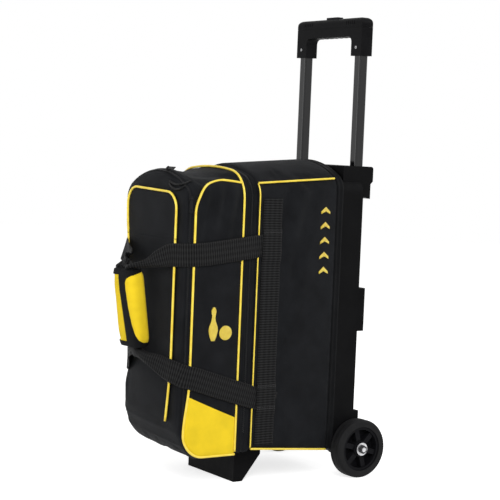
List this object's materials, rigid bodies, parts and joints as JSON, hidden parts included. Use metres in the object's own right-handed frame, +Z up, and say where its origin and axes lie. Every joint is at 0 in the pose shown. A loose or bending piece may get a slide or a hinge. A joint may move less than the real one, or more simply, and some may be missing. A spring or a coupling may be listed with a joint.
{
  "type": "bowling ball bag",
  "caption": "Wheeled upright bowling ball bag with a piped fabric body, moulded back shell, telescopic pull handle and padded carry handle.",
  "frame": {"origin": "on the floor under the middle of the whole bag, with the pull handle out", "axes": "+Z up, -Y towards the front panel and the carry handle, +X towards the side with the short-tape zip slider"},
  "size_m": [0.353, 0.5827, 1.002],
  "materials": {
    "black_fabric": "woven polyester, padded",
    "black_webbing": "woven webbing",
    "yellow_fabric": "woven polyester",
    "yellow_piping": "satin vinyl piping",
    "shell_plastic": "textured moulding",
    "tube_metal": "glossy black",
    "grip_plastic": "satin moulding",
    "tyre": "matte",
    "rim_plastic": "satin moulding",
    "bush": "natural nylon",
    "steel": "zinc plated",
    "zip_metal": "black enamel",
    "zip_tape": "coil zip",
    "board": "stiffener sheet",
    "foam": "closed-cell foam"
  },
  "bodies": {
    "root": {"back_shell": "shell_plastic", "shell_binding": "black_fabric", "top_housing": "shell_plastic", "outer_tube_near": "tube_metal", "outer_tube_far": "tube_metal", "mid_bracket": "shell_plastic", "axle_housing": "shell_plastic", "axle": "steel", "axle_washers": "steel", "axle_nuts": "steel", "bracket_screws": "steel", "foot": "shell_plastic", "foot_screws": "steel", "main_body": "black_fabric", "base_board": "board", "divider_shelf": "board", "ball_cup_lower": "foam", "ball_cup_upper": "foam", "zip_gusset": "black_fabric", "main_zip": "zip_tape", "front_section": "black_fabric", "front_zip": "zip_tape", "front_panel": "black_fabric", "panel_piping": "yellow_piping", "pocket_near": "black_fabric", "pocket_far": "black_fabric", "accent_near": "yellow_fabric", "accent_far": "yellow_fabric", "pocket_piping_near": "yellow_piping", "pocket_piping_far": "yellow_piping", "section_piping": "yellow_piping", "main_piping_near": "yellow_piping", "main_piping_far": "yellow_piping", "side_band_near": "black_webbing", "side_band_far": "black_webbing", "strap_near": "black_webbing", "strap_far": "black_webbing", "handle_wrap": "yellow_fabric"},
    "front_flap": {"front_flap": "black_fabric", "flap_piping": "yellow_piping"},
    "wrap_flap": {"wrap_flap": "yellow_fabric"},
    "wheel_near": {"tyre_near": "tyre", "rim_near": "rim_plastic", "bush_near": "bush"},
    "wheel_far": {"tyre_far": "tyre", "rim_far": "rim_plastic", "bush_far": "bush"},
    "pull_handle": {"inner_tube_near": "tube_metal", "inner_tube_far": "tube_metal", "tube_plugs": "grip_plastic", "grip_top": "grip_plastic", "grip_under": "grip_plastic", "grip_screws": "steel"},
    "release_button": {"release_button": "grip_plastic"},
    "side_slider": {"side_slider": "zip_metal"},
    "side_tab": {"side_tab": "zip_metal"},
    "top_slider": {"top_slider": "zip_metal"},
    "top_tab": {"top_tab": "zip_metal"},
    "main_slider": {"main_slider": "zip_metal"},
    "main_tab": {"main_tab": "zip_metal"}
  },
  "joints": [
    {"name": "wheel_near_spin", "type": "hinge", "parent": "root", "child": "wheel_near", "pos_m": [0.1515, 0.22793, 0.0635], "axis": [1, 0, 0], "continuous": true},
    {"name": "wheel_far_spin", "type": "hinge", "parent": "root", "child": "wheel_far", "pos_m": [-0.1515, 0.22793, 0.0635], "axis": [1, 0, 0], "continuous": true},
    {"name": "handle_slide", "type": "slide", "parent": "root", "child": "pull_handle", "axis": [0, 0, 1], "range_m": [-0.238, 0]},
    {"name": "button_press", "type": "slide", "parent": "pull_handle", "child": "release_button", "axis": [0, 0, -1], "range_m": [0, 0.004], "stiffness_N_per_m": 600, "springref_m": -0.002},
    {"name": "flap_fold", "type": "hinge", "parent": "root", "child": "front_flap", "pos_m": [0, -0.22576, 0.5147], "axis": [1, 0, 0], "range_deg": [0, 85]},
    {"name": "wrap_open", "type": "hinge", "parent": "root", "child": "wrap_flap", "pos_m": [0.027, -0.2823, 0.3664], "axis": [0, -0.0872, 0.9962], "range_deg": [0, 110]},
    {"name": "side_slider_run", "type": "slide", "parent": "root", "child": "side_slider", "axis": [0, 0, 1], "range_m": [-0.055, 0]},
    {"name": "side_tab_swing", "type": "hinge", "parent": "side_slider", "child": "side_tab", "pos_m": [0.13575, -0.209, 0.6], "axis": [-0.4, -0.9165, 0], "range_deg": [0, 150]},
    {"name": "top_slider_run", "type": "slide", "parent": "root", "child": "top_slider", "axis": [1, 0, 0], "range_m": [-0.08, 0]},
    {"name": "top_tab_swing", "type": "hinge", "parent": "top_slider", "child": "top_tab", "pos_m": [0.04, -0.21109, 0.65949], "axis": [0, -0.7538, -0.6571], "range_deg": [0, 150]},
    {"name": "main_slider_run", "type": "slide", "parent": "root", "child": "main_slider", "axis": [0, 0, 1], "range_m": [-0.04, 0]},
    {"name": "main_tab_swing", "type": "hinge", "parent": "main_slider", "child": "main_tab", "pos_m": [-0.1391, -0.06007, 0.6], "axis": [0, 1, 0], "range_deg": [0, 150]}
  ]
}
